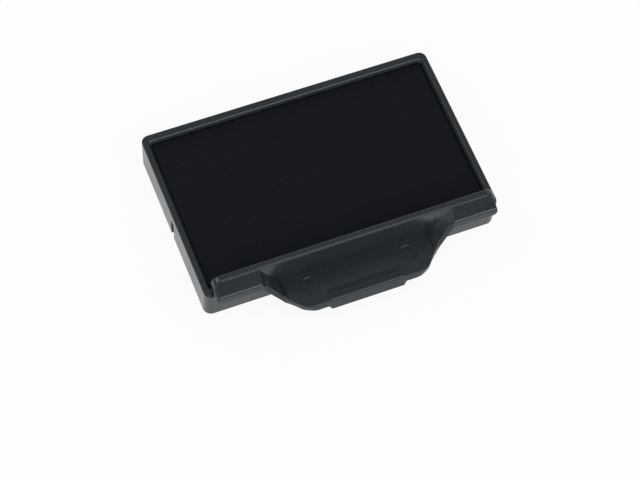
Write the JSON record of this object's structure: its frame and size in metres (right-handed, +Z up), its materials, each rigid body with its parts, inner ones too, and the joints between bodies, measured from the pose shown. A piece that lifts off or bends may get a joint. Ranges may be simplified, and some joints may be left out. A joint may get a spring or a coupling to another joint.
{
  "type": "ink pad",
  "caption": "Slim tray with a black inked pad set a little below its rim, and a raised front shield with a dropped pull tab and grip lip.",
  "frame": {"origin": "on the resting plane, midway along the length and midway over the full depth from back wall to grip lip", "axes": "+X along the long side, +Y away from the pull tab towards the back wall, +Z up out of the pad face"},
  "size_m": [0.062, 0.0472, 0.0128],
  "materials": {
    "moulded_plastic": "fine satin moulding, dark grey",
    "adhesive_sheet": "thin pale adhesive sheet",
    "ink_foam": "felt block soaked with black ink",
    "inked_cloth": "fine woven face, damp with black ink"
  },
  "bodies": {
    "root": {"tray": "moulded_plastic", "front_shield": "moulded_plastic", "bond_sheet": "adhesive_sheet", "ink_core": "ink_foam", "pad_cover": "inked_cloth"}
  },
  "joints": []
}
